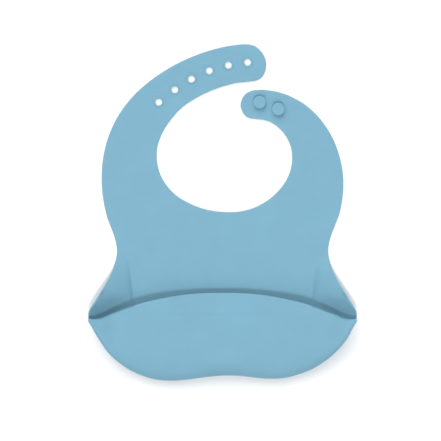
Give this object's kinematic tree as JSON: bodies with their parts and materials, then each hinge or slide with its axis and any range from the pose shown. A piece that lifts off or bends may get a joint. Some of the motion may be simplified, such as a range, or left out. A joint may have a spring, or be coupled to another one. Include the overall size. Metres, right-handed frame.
{
  "type": "silicone catch bib",
  "caption": "Soft silicone bib for a baby: flat chest panel, deep catch pocket with side gussets, a long strap with rimmed holes and a short strap with flat-headed studs.",
  "frame": {"origin": "under the middle of the bib as it lies on its back: centre of the bounding box in X and Y, on the back face in Z", "axes": "+Z out of the front face, +Y towards the strap ends, +X to the right when looking at the front"},
  "size_m": [0.2378, 0.2991, 0.0265],
  "materials": {
    "sheet_silicone": "matte",
    "pocket_silicone": "matte",
    "rims_and_studs": "matte"
  },
  "bodies": {
    "chest": {"chest_panel": "sheet_silicone"},
    "pocket": {"lower_panel": "sheet_silicone", "left_gusset": "pocket_silicone", "right_gusset": "pocket_silicone", "pocket_front": "pocket_silicone"},
    "lip": {"pocket_lip": "pocket_silicone"},
    "left_shoulder": {"left_strap_shoulder": "sheet_silicone"},
    "left_lower": {"left_strap_lower": "sheet_silicone", "hole_rim_1": "rims_and_studs", "hole_rim_2": "rims_and_studs"},
    "left_upper": {"left_strap_upper": "sheet_silicone", "hole_rim_3": "rims_and_studs", "hole_rim_4": "rims_and_studs"},
    "left_end": {"left_strap_end": "sheet_silicone", "hole_rim_5": "rims_and_studs", "hole_rim_6": "rims_and_studs"},
    "right_shoulder": {"right_strap_shoulder": "sheet_silicone"},
    "right_end": {"right_strap_end": "sheet_silicone", "stud_at_strap_end": "rims_and_studs", "stud_at_shoulder": "rims_and_studs"}
  },
  "joints": [
    {"name": "waist_fold", "type": "hinge", "parent": "chest", "child": "pocket", "pos_m": [0, -0.037, 0.0018], "axis": [-1, 0, 0], "range_deg": [0, 90], "stiffness_Nm_per_rad": 0.004},
    {"name": "lip_flex", "type": "hinge", "parent": "pocket", "child": "lip", "pos_m": [0, -0.093, 0.021], "axis": [1, 0, 0], "range_deg": [-25, 35], "stiffness_Nm_per_rad": 0.02},
    {"name": "left_strap_flex_1", "type": "hinge", "parent": "chest", "child": "left_shoulder", "pos_m": [-0.08088, 0.06243, 0.0018], "axis": [0.9962, -0.0872, 0], "range_deg": [0, 40], "stiffness_Nm_per_rad": 0.0016},
    {"name": "left_strap_flex_2", "type": "hinge", "parent": "left_shoulder", "child": "left_lower", "pos_m": [-0.06606, 0.0883, 0.0018], "axis": [0.8988, -0.4384, 0], "range_deg": [0, 40], "stiffness_Nm_per_rad": 0.0016},
    {"name": "left_strap_flex_3", "type": "hinge", "parent": "left_lower", "child": "left_upper", "pos_m": [-0.03587, 0.11456, 0.0018], "axis": [0.5358, -0.8443, 0], "range_deg": [0, 40], "stiffness_Nm_per_rad": 0.0014},
    {"name": "left_strap_flex_4", "type": "hinge", "parent": "left_upper", "child": "left_end", "pos_m": [-0.00358, 0.1284, 0.0018], "axis": [0.0732, -0.9973, 0], "range_deg": [0, 40], "stiffness_Nm_per_rad": 0.0014},
    {"name": "right_strap_flex_1", "type": "hinge", "parent": "chest", "child": "right_shoulder", "pos_m": [0.082, 0.0552, 0.0018], "axis": [1, 0, 0], "range_deg": [0, 45], "stiffness_Nm_per_rad": 0.0016},
    {"name": "right_strap_flex_2", "type": "hinge", "parent": "right_shoulder", "child": "right_end", "pos_m": [0.06689, 0.0815, 0.0018], "axis": [0.9272, 0.3746, 0], "range_deg": [0, 45], "stiffness_Nm_per_rad": 0.0014}
  ]
}
